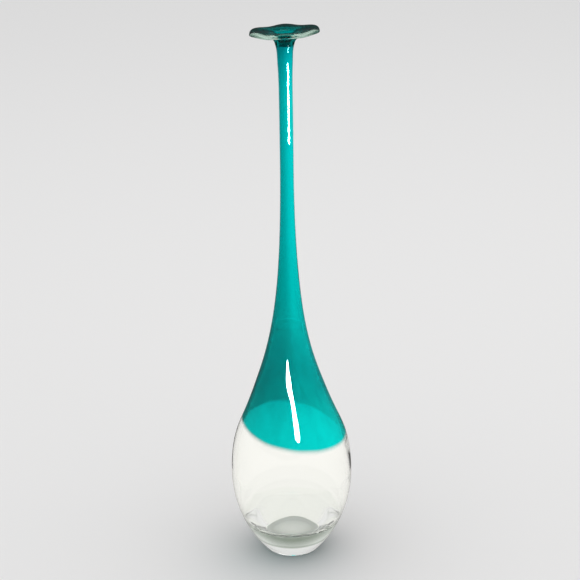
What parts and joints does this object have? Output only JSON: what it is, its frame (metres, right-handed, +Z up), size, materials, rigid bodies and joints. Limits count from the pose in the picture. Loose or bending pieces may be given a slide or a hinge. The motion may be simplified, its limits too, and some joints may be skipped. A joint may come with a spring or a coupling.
{
  "type": "hand blown art glass vase",
  "caption": "Tall bud vase of blown glass: clear tear-shaped bulb on a thick ground foot, long teal neck, ruffled disc lip.",
  "frame": {"origin": "centre of the flat foot, on the surface the vase stands on", "axes": "+Z up along the neck, +X to the right as the picture sees it. The colour line is lowest about 23 degrees, and the lip highest about 52 degrees, round from +X towards -Y"},
  "size_m": [0.1012, 0.1012, 0.4514],
  "materials": {
    "deep_teal_glass": "fire polished, dark teal where it is thick",
    "teal_glass": "transparent teal, glossy",
    "clear_glass": "clear, glossy, hand blown",
    "thick_clear_glass": "clear with a faint green cast in the thickness",
    "ground_glass": "ground matte underside"
  },
  "bodies": {
    "root": {"rim_disc": "deep_teal_glass", "teal_neck": "teal_glass", "clear_body": "clear_glass", "foot_gather": "thick_clear_glass", "pontil_pad": "ground_glass"}
  },
  "joints": []
}
